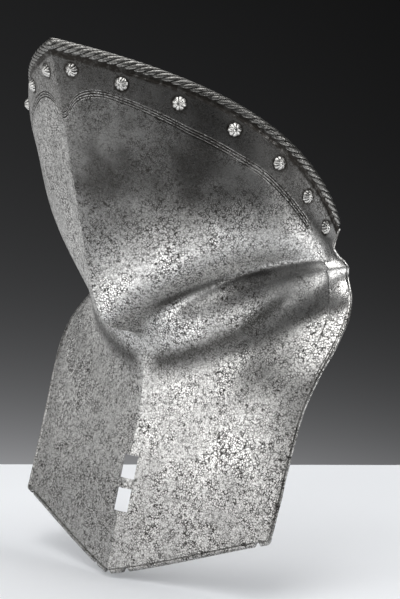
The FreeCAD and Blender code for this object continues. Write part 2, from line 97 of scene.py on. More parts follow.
def cubic_weights(count, places):
    """Weight of each of count steering points at places 0..1, for a clamped cubic
    B-spline with even knots (the Cox-de Boor rule), and the weights' rate of change."""
    def basis(t):
        spans = count - 3
        knots = np.concatenate([[0.0] * 3, np.linspace(0, 1, spans + 1), [1.0] * 3])
        t = np.clip(t, 0, 1 - 1e-12)[:, None]
        w = ((t >= knots[:-1]) & (t < knots[1:])).astype(float)
        for degree in (1, 2, 3):
            a, b = knots[:-degree - 1], knots[degree:-1]
            c, d = knots[1:-degree], knots[degree + 1:]
            left = np.where(b > a, (t - a) / np.where(b > a, b - a, 1), 0)
            right = np.where(d > c, (d - t) / np.where(d > c, d - c, 1), 0)
            w = left * w[:, :-1] + right * w[:, 1:]
        return w
    places = np.asarray(places, float)
    low, high = np.clip(places - 1e-4, 0, 1), np.clip(places + 1e-4, 0, 1)
    return basis(places), (basis(high) - basis(low)) / (high - low)[:, None]


POINTS = level_points()


def plate_at(down, across):
    """Points of the outer face and its two slopes, at paired arrays of places: down from
    the rim to the foot and across from the keel to the side edge, both 0..1."""
    shape = down.shape
    w_down, s_down = cubic_weights(len(POINTS), down.ravel())
    w_across, s_across = cubic_weights(4, across.ravel())
    def mix(a, b):
        return np.einsum("ni,nj,ijk->nk", a, b, POINTS, optimize=True).reshape(shape + (3,))
    return mix(w_down, w_across), mix(s_down, w_across), mix(w_down, s_across)


def unit(v):
    return v / np.maximum(np.linalg.norm(v, axis=-1, keepdims=True), 1e-12)


def facing_out(slope_down, slope_across):
    """Outward unit normal: across x down points out of the plate's front."""
    return unit(np.cross(slope_across, slope_down)) * OUT_SIGN


OUT_SIGN = 1.0
_, _d, _a = plate_at(np.array([0.3]), np.array([0.3]))
OUT_SIGN = -1.0 if facing_out(_d, _a)[0, 1] > 0 else 1.0


# How far below the rim each place lies

TABLE_DOWN = np.linspace(0, 0.62, 260)
TABLE_ACROSS = np.linspace(0, 1, 81)


def drop_table():
    """Distance in mm from the rim border to each place of a coarse grid."""
    down, across = np.meshgrid(TABLE_DOWN, TABLE_ACROSS, indexing="ij")
    points = plate_at(down, across)[0]
    border = plate_at(np.zeros(500), np.linspace(0, 1, 500))[0]
    rows = [
        np.linalg.norm(row[:, None] - border[None], axis=-1).min(1) for row in points
    ]
    return np.maximum.accumulate(np.array(rows), axis=0)


DROPS = drop_table()


def below_rim(across, drop):
    """Place down the plate at which a column lies drop mm below the rim border."""
    across = np.asarray(across, float)
    drop = np.broadcast_to(np.asarray(drop, float), across.shape)
    place = across * (len(TABLE_ACROSS) - 1)
    low = np.clip(place.astype(int), 0, len(TABLE_ACROSS) - 2)
    share = (place - low)[None]
    table = DROPS[:, low] * (1 - share) + DROPS[:, low + 1] * share
    found = (table < drop[None]).sum(0)
    found = np.clip(found, 1, len(TABLE_DOWN) - 1)
    pick = np.arange(len(across))
    a, b = table[found - 1, pick], table[found, pick]
    part = np.clip((drop - a) / np.maximum(b - a, 1e-9), 0, 1)
    return TABLE_DOWN[found - 1] + part * (TABLE_DOWN[found] - TABLE_DOWN[found - 1])


def place_along(drop, lengths):
    """Places across at lengths in mm along the line that lies drop mm below the rim,
    from the keel."""
    across = np.linspace(0, 1, 600)
    line = plate_at(below_rim(across, drop), across)[0]
    steps = np.linalg.norm(np.diff(line, axis=0), axis=1)
    run = np.concatenate([[0], np.cumsum(steps)])
    return np.interp(lengths, run, across)


# Meshes

def bump_between(x, low, high, soft):
    """1 between low and high, falling smoothly to 0 over soft outside."""
    t = np.clip(np.minimum(x - low, high - x) / soft + 1, 0, 1)
    return t * t * (3 - 2 * t)


# Engraved border: three lines that follow the rim and arch down to the keel

# The middle line: length along the rim from the keel, and drop below the rim, in mm.
MIDDLE_LINE = (
    (0, 46), (6, 36), (12, 28.6), (20.5, 23.6), (29.5, 20.9), (40, 19.9), (64, 21.2),
    (102, 24.3), (146, 24.0), (171, 22.2), (227, 21.6), (260, 21.6),
)
LINE_STEP = 1.7
LINE_WIDTH = 0.42
LINE_DEPTH = 0.5
LINE_END = 224.0
LINE_REACH = 3.6
BAND_END = 247.0
SMOOTHED = 19


def line_drop(run):
    """Drop of the middle line at a length along the rim: straight between its points,
    then averaged over 9 mm so that it bends smoothly."""
    places = np.linspace(-9, 269, 557)
    lengths, drops = np.array(MIDDLE_LINE, float).T
    straight = np.interp(np.abs(places), lengths, drops)
    smooth = np.convolve(straight, np.ones(SMOOTHED) / SMOOTHED, "same")
    return np.interp(run, places[10:-10], smooth[10:-10])


def engraving(off, run):
    """Depth of three round-bottomed grooves at off mm from the middle line; they thin
    out where the line ends at the rear."""
    grooves = sum(np.exp(-((off - k * LINE_STEP) / LINE_WIDTH) ** 2) for k in (-1, 0, 1))
    return LINE_DEPTH * grooves * np.clip((LINE_END - run) / 8, 0, 1)


# Forged plate

WAVES = 9
OUTER_SWELL, OUTER_GRAIN = 0.30, 26
INNER_SWELL, INNER_GRAIN = 0.35, 18
NOTCH_RADIUS = 2.3
NOTCH_SPACING = 16.0
CORNER_NOTCH = 7.0


# Rows from the rim to the hollow under the roll, then to above the lines, below them,
# the four edges of the slots and the foot.
ROW_COUNTS = (6, 12, 30, 94, 9, 4, 9, 22)


def plate_columns():
    """Places across: fine beside the keel, where the slots and a notch are, and at the
    side corner, and even between them."""
    fine_keel = np.linspace(0, 22, 34)
    middle = np.linspace(22, 116, 46)[1:]
    fine_edge = np.linspace(116, 128, 20)[1:]
    lengths = np.concatenate([fine_keel, middle, fine_edge])
    across = np.linspace(0, 1, 400)
    foot = plate_at(np.ones(400), across)[0]
    run = np.concatenate([[0], np.cumsum(np.linalg.norm(np.diff(foot, axis=0), axis=1))])
    return np.interp(lengths / lengths[-1] * run[-1], run, across)


def plate_places():
    """Grid of (down, across) places. One column keeps to the slots' side, and rows run
    along the rim, along the engraved lines and along the slots' edges."""
    base = plate_columns()
    slot_column = int(np.argmin(np.abs(base - 0.065)))
    guide_down = np.linspace(0, 1, 60)
    guide_across = np.linspace(0, 0.2, 120)
    d, a = np.meshgrid(guide_down, guide_across, indexing="ij")
    x = plate_at(d, a)[0][..., 0]
    side = np.array([np.interp(SLOT_HALF_WIDTH, row, guide_across) for row in x])

    rim_run = plate_at(np.zeros(400), np.linspace(0, 1, 400))[0]
    run = np.concatenate([[0], np.cumsum(np.linalg.norm(np.diff(rim_run, axis=0), axis=1))])
    column_run = np.interp(base, np.linspace(0, 1, 400), run)

    line = below_rim(base, line_drop(column_run))
    above = below_rim(base, line_drop(column_run) - LINE_REACH)
    under = below_rim(base, line_drop(column_run) + LINE_REACH)
    hollow = below_rim(base, np.full(len(base), 3.0))
    guide = np.linspace(0, 1, 900)
    d, a = np.meshgrid(guide, base, indexing="ij")
    height = plate_at(d, a)[0][..., 2]
    cuts = [
        np.array([np.interp(-z, -height[:, j], guide) for j in range(len(base))])
        for z in SLOT_EDGES
    ]
    anchors = [0 * base, hollow, above, under] + cuts + [0 * base + 1]
    rows = []
    for first, last, count in zip(anchors, anchors[1:], ROW_COUNTS):
        share = np.linspace(0, 1, count + 1)[:-1, None]
        rows.append(first * (1 - share) + last * share)
    rows.append(anchors[-1][None])
    down = np.concatenate(rows)
    across = np.broadcast_to(base, down.shape).copy()
    keep = np.interp(down[:, slot_column], guide_down, side)
    scale = keep / base[slot_column]
    keel_height = plate_at(down[:, 0], 0 * down[:, 0])[0][:, 2]
    low_down = np.clip((60 - keel_height) / 20, 0, 1)[:, None]
    fade = np.clip((0.2 - across) / 0.12, 0, 1) * low_down
    across = across * (1 + (scale[:, None] - 1) * fade)
    row_of = np.cumsum((0,) + ROW_COUNTS)
    return down, across, slot_column, row_of, column_run


def slide_to_keel(points, shifts, along):
    """Moves the first column's shifted points along its own slope onto x = 0."""
    moved = points + shifts
    first = moved[:, 0] - along[:, 0] * (moved[:, 0, 0] / along[:, 0, 0])[:, None]
    moved[:, 0] = first
    return moved


def hammered(points, amount, grain):
    """A soft unevenness from a sum of long sine waves over the surface, in mm."""
    total = np.zeros(points.shape[:-1])
    for _ in range(WAVES):
        wave = RNG.normal(0, 1, 3)
        wave = wave / np.linalg.norm(wave) * (2 * np.pi / (grain * (0.6 + 0.9 * RNG.random())))
        total += np.sin(points @ wave + RNG.random() * 6.28)
    return total / WAVES * amount


def forged_plate():
    """The plate as one closed skin: outer face, inner face 2 mm under it along its
    normal, turned edges as arcs between them, and the two slots cut through."""
    down, across, slot_column, row_of, column_run = plate_places()
    base, slope_down, slope_across = plate_at(down, across)
    normal = facing_out(slope_down, slope_across)
    rows, columns = down.shape

    drop = np.array([
        np.interp(down[:, j], TABLE_DOWN, table)
        for j, table in enumerate(columns_of_drop(across[0]))
    ]).T
    run = np.broadcast_to(column_run, down.shape)
    off = drop - line_drop(run)
    above, under = row_of[2], row_of[3]
    off[:above] = -np.maximum(np.abs(off[:above]), LINE_REACH)
    off[under:] = np.maximum(np.abs(off[under:]), LINE_REACH)
    dip = engraving(off, run)
    ended = np.where((off < 0) & (run < BAND_END), -LINE_REACH, LINE_REACH)
    off = np.where(run > LINE_END - 3, ended, off)
    dip = dip + 0.55 * np.exp(-((drop - 0.6) / 1.0) ** 2)
    quiet = np.clip(drop / 12, 0, 1)
    swell = hammered(base, OUTER_SWELL, OUTER_GRAIN) * quiet
    swell = swell * bump_between(across, 0.10, 0.85, 0.10) - dip
    along_x = unit(slope_across)
    outer = slide_to_keel(base, normal * swell[..., None], along_x)
    sink = hammered(base, INNER_SWELL, INNER_GRAIN) - THICKNESS
    inner = slide_to_keel(base, normal * sink[..., None], along_x)

    # A strip that runs on past the border, up into the rolled rim.
    into_roll = unit(-slope_down[0] - unit(slope_across[0]) * np.sum(
        -slope_down[0] * unit(slope_across[0]), -1, keepdims=True))
    outer_top = outer[0] + into_roll * 2.6
    inner_top = inner[0] + into_roll * 2.6
    outer_top[0, 0] = inner_top[0, 0] = 0
    outer = np.concatenate([outer_top[None], outer])
    inner = np.concatenate([inner_top[None], inner])
    rows += 1
    row_of = row_of + 1

    # Turned edge on the foot: an arc from the outer face round to the inner face.
    reach = math.sqrt(HEM_RADIUS ** 2 - (THICKNESS / 2) ** 2)
    turn = np.radians(np.linspace(-32, 212, 9))
    foot_along = unit(slope_across[-1])
    foot_away = unit(slope_down[-1] - foot_along * np.sum(
        slope_down[-1] * foot_along, -1, keepdims=True))
    side_along = unit(slope_down[:, -1])
    side_away = unit(slope_across[:, -1] - side_along * np.sum(
        slope_across[:, -1] * side_along, -1, keepdims=True))

    foot_run = np.concatenate([[0], np.cumsum(np.linalg.norm(np.diff(base[-1], axis=0), axis=1))])
    notch = np.zeros(columns)
    for place in (0, NOTCH_SPACING, foot_run[-1] - CORNER_NOTCH):
        bite = np.clip(1 - ((foot_run - place) / NOTCH_RADIUS) ** 2, 0, 1) ** 0.5
        notch = np.maximum(notch, bite)
    edge_reach = reach + HEM_RADIUS * np.sin(turn)
    foot_out = -THICKNESS / 2 + HEM_RADIUS * np.cos(turn)
    beyond = edge_reach[:, None] * (1 - notch[None]) + 0.2 * notch[None]
    foot = (
        base[-1][None] + normal[-1][None] * foot_out[:, None, None]
        + foot_away[None] * beyond[..., None]
    )
    lean = foot[:, 0, 0] / foot_along[0, 0]
    foot[:, 0] -= foot_along[0] * lean[:, None]

    side_base = np.concatenate([outer[:1, -1], base[:, -1]])
    side_normal = np.concatenate([normal[:1, -1], normal[:, -1]])
    side_away = np.concatenate([side_away[:1], side_away])
    grown = np.clip(0.25 + np.concatenate([[0], down[:, -1]]) / 0.12, 0, 1)
    wave = grown + 0.05 * np.sin(np.linspace(0, 40, rows)) + 0.04 * np.sin(np.linspace(0, 95, rows))
    side = (
        side_base[None] + side_normal[None] * foot_out[:, None, None]
        + side_away[None] * (edge_reach[:, None] * wave[None])[..., None]
    )

    # Round corner between the two turned edges.
    swing = np.linspace(0, 1, 6)[1:-1]
    turned = [
        unit(foot_away[-1] * (1 - s) + side_away[-1] * s) for s in swing
    ]
    corner = np.stack([
        base[-1, -1] + normal[-1, -1] * foot_out[:, None] + away * edge_reach[:, None]
        for away in turned
    ], 1)

    blocks = (outer, inner, foot, side, corner)
    return weave_skin(blocks, slot_column, row_of, drop, across, down, off)


HALF_WIDTH = 135.0

# Painted shade lies in two creases below the chin bowl: places across, and down at each.
UPPER_CREASE = (
    (0.0, 0.450), (0.221, 0.456), (0.358, 0.464), (0.495, 0.479), (0.619, 0.499), (0.719, 0.509),
)
LOWER_CREASE = (
    (0.0, 0.719), (0.204, 0.717), (0.328, 0.714), (0.465, 0.709), (0.572, 0.687),
    (0.672, 0.664), (0.769, 0.627),
)


def crease_share(down, across, line, half_width, first, last):
    """1 along a crease, falling off smoothly to both sides and past its two ends."""
    places, depths = np.array(line).T
    gap = (down - np.interp(across, places, depths)) / half_width
    return np.exp(-gap ** 2) * bump_between(across, first, last, 0.12)


def columns_of_drop(across):
    """Drop tables interpolated at each column."""
    place = np.asarray(across) * (len(TABLE_ACROSS) - 1)
    low = np.clip(place.astype(int), 0, len(TABLE_ACROSS) - 2)
    share = (place - low)[None]
    return (DROPS[:, low] * (1 - share) + DROPS[:, low + 1] * share).T


def mirror_half(points, faces, values):
    """Adds the mirror image of a half and joins the two on x = 0: a mirrored point that
    lies on the middle plane is the same point as its original."""
    count = len(points)
    on_middle = np.abs(points[:, 0]) < 1e-4
    points = points.copy()
    points[on_middle, 0] = 0
    number = np.where(on_middle, np.arange(count), count + np.cumsum(~on_middle) - 1)
    other = points[~on_middle] * [-1, 1, 1]
    both = np.concatenate([points, other])
    twin = [number[block][:, ::-1] for block in faces]
    values = {k: np.concatenate([v, v[~on_middle]]) for k, v in values.items()}
    return both, list(faces) + twin, values


def strip_faces(one, two):
    """Cells between two rows of point numbers of the same length."""
    return np.stack([one[:-1], one[1:], two[1:], two[:-1]], 1)


def grid_faces(numbers):
    """Cells of a whole grid of point numbers."""
    return np.concatenate([strip_faces(a, b) for a, b in zip(numbers, numbers[1:])])


def weave_skin(blocks, slot_column, row_of, drop, across, down, off):
    """Joins the plate's parts (outer face, inner face, foot edge, side edge and corner)
    into one closed skin, leaves the slot cells out and walls the slots, then mirrors
    it."""
    rows, columns = blocks[0].shape[:2]
    starts = np.cumsum([0] + [block[..., 0].size for block in blocks])
    o, i, f, s, c = [
        np.arange(a, b).reshape(block.shape[:2])
        for a, b, block in zip(starts, starts[1:], blocks)
    ]
    open_cells = np.zeros((rows - 1, columns - 1), bool)
    walls = []
    for top, bottom in ((row_of[4], row_of[5]), (row_of[6], row_of[7])):
        open_cells[top:bottom, :slot_column] = True
        for face in (o, i):
            walls.append(np.concatenate([
                face[top, :slot_column], face[top:bottom, slot_column],
                face[bottom, slot_column::-1],
            ]))
    kept = ~open_cells.ravel()
    foot_grid = np.concatenate([o[-1:], f, i[-1:]])
    side_grid = np.concatenate([o[:, -1][None], s, i[:, -1][None]])
    corner_grid = np.concatenate([f[:, -1:], c, s[:, -1:]], 1)
    quads = [
        grid_faces(o)[kept], grid_faces(i)[kept], strip_faces(o[0], i[0]),
        grid_faces(foot_grid), grid_faces(side_grid), grid_faces(corner_grid),
        strip_faces(walls[0], walls[1]), strip_faces(walls[2], walls[3]),
    ]
    fans = [
        np.stack([np.full(5, tip), row[:-1], row[1:]], 1)
        for tip, row in ((o[-1, -1], corner_grid[0]), (i[-1, -1], corner_grid[-1]))
    ]
    lid = side_grid[:, 0][None]
    points = np.concatenate([block.reshape(-1, 3) for block in blocks])

    def spread(values_outer, on_foot, on_side):
        whole = np.concatenate([values_outer[:1], values_outer])
        return np.concatenate([
            whole.ravel(), whole.ravel(), np.full(f.size, on_foot),
            np.full(s.size, on_side), np.full(c.size, on_foot),
        ])
    spots = rivet_seats()[0]
    near_rivet = np.min(np.linalg.norm(points[:, None] - spots[None], axis=-1), axis=1)
    inside = np.zeros(len(points))
    inside[i.ravel()] = 1
    hem = np.zeros(len(points))
    hem[np.concatenate([f.ravel(), s.ravel(), c.ravel()])] = 1
    # Painted shade in the two creases below the chin bowl.
    fold_shade = np.maximum(
        crease_share(down, across, UPPER_CREASE, 0.036, 0.22, 0.60),
        crease_share(down, across, LOWER_CREASE, 0.038, 0.10, 0.66),
    )
    flat = np.abs(points) * [1, 0, 0] + points * [0, 1, 1]
    # Painted highlights on the rear bulge beside the last rivet and on a small glint further
    # forward; both places also get thinner pitting.
    wear_and_highlight = np.zeros(len(points))
    for spot, reach in (((119, 95, 158), 26), ((101, 59, 136), 10)):
        wear_and_highlight = np.maximum(wear_and_highlight, np.exp(-(np.linalg.norm(flat - spot, axis=1) / reach) ** 2))
    values = {
        "fold_shade": spread(fold_shade, 0, 0), "wear_and_highlight": wear_and_highlight,
        "rim_drop": spread(drop, 90, 90), "line_off": spread(off, 40, 40),
        "rivet_gap": near_rivet, "inside": inside, "hem": hem,
        "edge_gap": spread((1 - across) * HALF_WIDTH, 0, 0),
    }
    faces = [np.concatenate(quads), np.concatenate(fans), lid]
    return mirror_half(points, faces, values)


def mark_keel(mesh):
    """Marks as sharp every edge whose two ends lie on the middle plane."""
    places = np.empty(len(mesh.vertices) * 3)
    mesh.vertices.foreach_get("co", places)
    on_middle = np.abs(places[::3]) < 1e-7
    ends = np.empty(len(mesh.edges) * 2, np.int32)
    mesh.edges.foreach_get("vertices", ends)
    keel = on_middle[ends].reshape(-1, 2).all(1)
    creases = mesh.attributes["sharp_edge"]
    marked = np.empty(len(mesh.edges), bool)
    creases.data.foreach_get("value", marked)
    creases.data.foreach_set("value", marked | keel)


def skin_object(name, points, faces, values=None, sharp=38, keel_sharp=False):
    """A closed mesh object in metres from points in mm and blocks of faces, with its
    faces turned outwards and its sharp creases marked."""
    mesh = bpy.data.meshes.new(name)
    sizes = np.concatenate([np.full(len(b), b.shape[1], np.int32) for b in faces])
    corners = np.concatenate([b.ravel() for b in faces]).astype(np.int32)
    mesh.vertices.add(len(points))
    mesh.vertices.foreach_set("co", (np.asarray(points, float) * MM).ravel())
    mesh.loops.add(len(corners))
    mesh.loops.foreach_set("vertex_index", corners)
    mesh.polygons.add(len(sizes))
    mesh.polygons.foreach_set("loop_start", np.concatenate([[0], np.cumsum(sizes)[:-1]]))
    mesh.update(calc_edges=True)
    for label, value in (values or {}).items():
        layer = mesh.attributes.new(label, "FLOAT", "POINT")
        layer.data.foreach_set("value", np.asarray(value, np.float32).ravel())
    shell = bmesh.new()
    shell.from_mesh(mesh)
    bmesh.ops.recalc_face_normals(shell, faces=shell.faces)
    shell.to_mesh(mesh)
    shell.free()
    mesh.polygons.foreach_set("use_smooth", np.ones(len(sizes), bool))
    mesh.set_sharp_from_angle(angle=math.radians(sharp))
    if keel_sharp:
        mark_keel(mesh)
    item = bpy.data.objects.new(name, mesh)
    bpy.context.scene.collection.objects.link(item)
    return item


def closed_tube(rings, start_tip, end_tip):
    """Points and faces of a closed tube: rings of points, with a fan to a tip at each end."""
    count, around = rings.shape[:2]
    number = np.arange(count * around).reshape(count, around)
    looped = np.concatenate([number, number[:, :1]], 1)
    first, last = count * around, count * around + 1
    fans = [
        np.stack([np.full(around, tip), row[:-1], row[1:]], 1)
        for tip, row in ((first, looped[0]), (last, looped[-1]))
    ]
    points = np.concatenate([rings.reshape(-1, 3), [start_tip], [end_tip]])
    return points, [grid_faces(looped), np.concatenate(fans)]


# Roped rim

ROPE_PITCH = 6.4
ROPE_STRANDS = 6
ROPE_DEPTH = 0.75


def roped_rim():
    """A tube along the rolled rim, cut into strands: the radius falls by the rope's depth
    wherever the length along the rim plus the angle round it lies on a strand's edge.
    The right half is the left one mirrored, and both meet on x = 0."""
    across = np.linspace(0, 1, 420)
    base, slope_down, slope_across = plate_at(np.zeros(420), across)
    normal = facing_out(slope_down, slope_across)
    along = unit(slope_across)
    away = unit(np.cross(normal, along))
    away = away * np.sign(np.sum(away * -slope_down, -1, keepdims=True))
    out = ROLL_STAND_OUT - ROLL_RADIUS
    beyond = math.sqrt(ROLL_RADIUS ** 2 - (out + THICKNESS) ** 2)
    centre = base + normal * out + away * beyond
    run = np.concatenate([[0], np.cumsum(np.linalg.norm(np.diff(centre, axis=0), axis=1))])
    angle = np.linspace(0, 2 * np.pi, 48, endpoint=False)
    wander = 0.35 * np.sin(run / 23.0) + 0.2 * np.sin(run / 9.7)
    phase = (run + wander)[:, None] / ROPE_PITCH - angle[None] * ROPE_STRANDS / (2 * np.pi)
    strand = np.abs(np.sin(np.pi * phase))
    cut = ROPE_DEPTH * (1 - strand) ** 1.6
    left = run[-1] - run
    fade = np.clip(left / 16, 0.12, 1)[:, None] * np.clip(run / 3, 0.3, 1)[:, None]
    end = np.sqrt(np.clip(1 - np.clip(1 - left / 3.5, 0, 1) ** 2, 0.02, 1))
    slim = (1 - 0.16 * np.clip(1 - left / 26, 0, 1) ** 2) * end
    radius = (ROLL_RADIUS - cut * fade) * slim[:, None]
    ring = (
        np.cos(angle)[None, :, None] * normal[:, None]
        + np.sin(angle)[None, :, None] * away[:, None]
    )
    rings = centre[:, None] + radius[..., None] * ring
    lean = rings[0, :, 0] / along[0, 0]
    rings[0] -= along[0] * lean[:, None]
    rings = np.concatenate([rings[:0:-1] * [-1, 1, 1], rings])
    tip = centre[-1]
    points, faces = closed_tube(rings, tip * [-1, 1, 1], tip)
    groove = np.concatenate([(1 - strand)[:0:-1], 1 - strand])
    return points, faces, {"groove": np.append(groove.ravel(), [0, 0])}


# Rosette rivets

PETALS = 8
HEAD_SIDES = 80
SCALLOP = 0.13
HEAD_SEAT = 0.15
HEAD_RADIUS = 4.7
HEAD_HEIGHT = 2.8
SHANK_RADIUS = 1.6
SHANK_LENGTH = 5.65
TAIL_RADIUS = 2.6
TAIL_HEIGHT = 1.2


def rivet_seats():
    """Seats of the left side's rivets on the outer face: points, normals and directions
    along the rim."""
    across = place_along(RIVET_DROP, np.array(RIVET_PLACES))
    base, slope_down, slope_across = plate_at(below_rim(across, RIVET_DROP), across)
    return base, facing_out(slope_down, slope_across), unit(slope_across)


def rosette_rivet(seat, normal, along, turn):
    """A domed head with filed petals and a dimple, a shank and a peened tail, as rings
    round one axis. A petal's height falls off to a groove where the cosine of four times
    the angle is nil, more so towards the rim, and the rim is scalloped the same way."""
    angle = np.linspace(0, 2 * np.pi, HEAD_SIDES, endpoint=False)
    lobe = np.abs(np.cos(PETALS / 2 * angle)) ** 0.62
    share = np.array([
        0.06, 0.14, 0.2, 0.26, 0.34, 0.44, 0.54, 0.64, 0.73, 0.81, 0.88, 0.94, 0.98, 1.0,
    ])
    dome = (HEAD_RADIUS ** 2 + HEAD_HEIGHT ** 2) / (2 * HEAD_HEIGHT)
    r = HEAD_RADIUS * share[:, None]
    height = HEAD_HEIGHT + HEAD_SEAT - dome + np.sqrt(dome ** 2 - r ** 2)
    ramp = np.clip((share - 0.2) / 0.25, 0, 1)[:, None]
    height = height - 0.60 * (1 - lobe) * ramp * np.sqrt(np.clip(height, 0.1, None) / HEAD_HEIGHT)
    height = height - 0.45 * np.exp(-(r / 0.95) ** 2) + 0.25 * np.exp(-((r - 1.5) / 0.5) ** 2)
    height = np.maximum(height, 0.02)
    radius = r * (1 - SCALLOP * (1 - lobe) * share[:, None] ** 2)
    below = np.array([
        (HEAD_RADIUS * 0.97, -0.08), (SHANK_RADIUS, -0.1), (SHANK_RADIUS, -SHANK_LENGTH),
        (TAIL_RADIUS, -SHANK_LENGTH), (TAIL_RADIUS * 0.92, -SHANK_LENGTH - 0.5),
        (TAIL_RADIUS * 0.5, -SHANK_LENGTH - TAIL_HEIGHT),
    ])
    scallop = np.ones((len(below), HEAD_SIDES))
    scallop[0] = 1 - SCALLOP * (1 - lobe)
    radius = np.concatenate([radius, below[:, :1] * scallop])
    height = np.concatenate([height, below[:, 1:] * np.ones(HEAD_SIDES)])
    angle = angle[None] + turn
    side = np.cross(normal, along)
    rings = (
        seat + (radius * np.cos(angle))[..., None] * along
        + (radius * np.sin(angle))[..., None] * side + height[..., None] * normal
    )
    top = seat + normal * (height[0].mean() - 0.02)
    bottom = seat + normal * (-SHANK_LENGTH - TAIL_HEIGHT)
    points, faces = closed_tube(rings, top, bottom)
    dip = np.concatenate([
        (1 - lobe) * ramp + 0.45 * np.exp(-(r / 1.1) ** 2),
        0.4 * np.ones((len(below), HEAD_SIDES)),
    ])
    return points, faces, {"groove": np.append(np.clip(dip, 0, 1).ravel(), [0.45, 0.4])}


# Materials

class Tree:
    """Short calls for building a node tree."""

    def __init__(self, tree):
        self.tree = tree

    def add(self, kind, **settings):
        node = self.tree.nodes.new(kind)
        for key, value in settings.items():
            setattr(node, key, value)
        return node

    def put(self, value, socket):
        """Links a node's output to a socket, or sets the socket to a plain value."""
        if isinstance(value, bpy.types.NodeSocket):
            self.tree.links.new(value, socket)
        elif value is not None:
            socket.default_value = value

    def math(self, operation, a, b=None, c=None, clamp=False):
        node = self.add("ShaderNodeMath", operation=operation, use_clamp=clamp)
        for value, socket in zip((a, b, c), node.inputs):
            self.put(value, socket)
        return node.outputs[0]

    def ramp(self, value, low, high, smooth=True):
        """0 at low, 1 at high; low may lie above high."""
        kind = "SMOOTHSTEP" if smooth else "LINEAR"
        node = self.add("ShaderNodeMapRange", interpolation_type=kind)
        self.put(value, node.inputs["Value"])
        node.inputs["From Min"].default_value = low
        node.inputs["From Max"].default_value = high
        return node.outputs["Result"]

    def noise(self, vector, scale, detail=3.0, rough=0.55, colour=False):
        node = self.add("ShaderNodeTexNoise")
        self.put(vector, node.inputs["Vector"])
        self.put(scale, node.inputs["Scale"])
        self.put(detail, node.inputs["Detail"])
        self.put(rough, node.inputs["Roughness"])
        return node.outputs["Color" if colour else "Fac"]

    def cells(self, vector, scale, feature="F1"):
        node = self.add("ShaderNodeTexVoronoi", feature=feature)
        self.put(vector, node.inputs["Vector"])
        self.put(scale, node.inputs["Scale"])
        return node.outputs["Distance"]

    def mix(self, share, a, b, blend="MIX"):
        node = self.add("ShaderNodeMix", data_type="RGBA", blend_type=blend)
        self.put(share, node.inputs["Factor"])
        self.put(a, node.inputs[6])
        self.put(b, node.inputs[7])
        return node.outputs[2]

    def value(self, name):
        return self.add("ShaderNodeAttribute", attribute_name=name).outputs["Fac"]

    def shift(self, vector, offset, amount):
        """Moves a place by a noise colour, amount metres either way."""
        centre = self.add("ShaderNodeVectorMath", operation="SUBTRACT")
        self.put(offset, centre.inputs[0])
        centre.inputs[1].default_value = (0.5, 0.5, 0.5)
        scaled = self.add("ShaderNodeVectorMath", operation="SCALE")
        self.put(centre.outputs[0], scaled.inputs[0])
        scaled.inputs["Scale"].default_value = amount
        total = self.add("ShaderNodeVectorMath", operation="ADD")
        self.put(vector, total.inputs[0])
        self.put(scaled.outputs[0], total.inputs[1])
        return total.outputs[0]


def effect(name, inputs, outputs):
    """A new shader node group with named inputs and outputs."""
    tree = bpy.data.node_groups.new(name, "ShaderNodeTree")
    for label, kind, value in inputs:
        socket = tree.interface.new_socket(label, in_out="INPUT", socket_type=kind)
        if value is not None:
            socket.default_value = value
    for label, kind in outputs:
        tree.interface.new_socket(label, in_out="OUTPUT", socket_type=kind)
    t = Tree(tree)
    return t, t.add("NodeGroupInput"), t.add("NodeGroupOutput")


def pitting_effect():
    """Old pitting: wormy cracks between cells of about 1.5 mm, small round pits, and a
    slow cloud that says where the pitting is dense."""
    t, given, made = effect(
        "old pitting",
        [("Place", "NodeSocketVector", None), ("Amount", "NodeSocketFloat", 0.5)],
        [("Pits", "NodeSocketFloat"), ("Cloud", "NodeSocketFloat"), ("Fine", "NodeSocketFloat")],
    )
    place, amount = given.outputs["Place"], given.outputs["Amount"]
    bent = t.shift(place, t.noise(place, 420.0, 2.0, colour=True), 0.0014)
    cracks = t.ramp(t.cells(bent, 540.0, "DISTANCE_TO_EDGE"), 0.19, 0.03)
    worm = t.math("ABSOLUTE", t.math("SUBTRACT", t.noise(place, 800.0, 1.5), 0.5))
    fine_cracks = t.ramp(worm, 0.055, 0.012)
    broken = t.ramp(t.noise(place, 380.0, 2.0), 0.34, 0.56)
    dots = t.ramp(t.cells(bent, 950.0), 0.34, 0.12)
    cloud = t.noise(place, 26.0, 4.0, 0.6)
    patch = t.noise(place, 110.0, 3.0, 0.6)
    dense = t.math("ADD", t.ramp(cloud, 0.30, 0.70), t.ramp(patch, 0.30, 0.70))
    dense = t.math("MULTIPLY", t.math("ADD", t.math("MULTIPLY", dense, 0.45), 0.55), amount)
    worms = t.math("MULTIPLY", cracks, broken)
    both = t.math("MAXIMUM", worms, t.math("MULTIPLY", fine_cracks, 0.8))
    both = t.math("MAXIMUM", both, t.math("MULTIPLY", dots, 0.9))
    pits = t.math("MULTIPLY", both, dense, clamp=True)
    t.put(pits, made.inputs["Pits"])
    t.put(cloud, made.inputs["Cloud"])
    t.put(t.noise(place, 1500.0, 2.0, 0.6), made.inputs["Fine"])
    return t.tree


def grime_and_shade_effect():
    """Dark grime and, on the plate, painted shade: stronger in hollows and in slow patches."""
    t, given, made = effect(
        "dark grime and shade",
        [
            ("Place", "NodeSocketVector", None), ("Hollow", "NodeSocketFloat", 0.0),
            ("Clean", "NodeSocketColor", (0.5, 0.5, 0.5, 1)),
            ("Dirty", "NodeSocketColor", (0.05, 0.045, 0.04, 1)),
        ],
        [("Color", "NodeSocketColor"), ("Dirt", "NodeSocketFloat")],
    )
    patches = t.ramp(t.noise(given.outputs["Place"], 210.0, 4.0, 0.65), 0.35, 0.75)
    dirt = t.math("MULTIPLY", given.outputs["Hollow"], t.math("ADD", patches, 0.65), clamp=True)
    t.put(t.mix(dirt, given.outputs["Clean"], given.outputs["Dirty"]), made.inputs["Color"])
    t.put(dirt, made.inputs["Dirt"])
    return t.tree


PITTING = pitting_effect()
GRIME_AND_SHADE = grime_and_shade_effect()


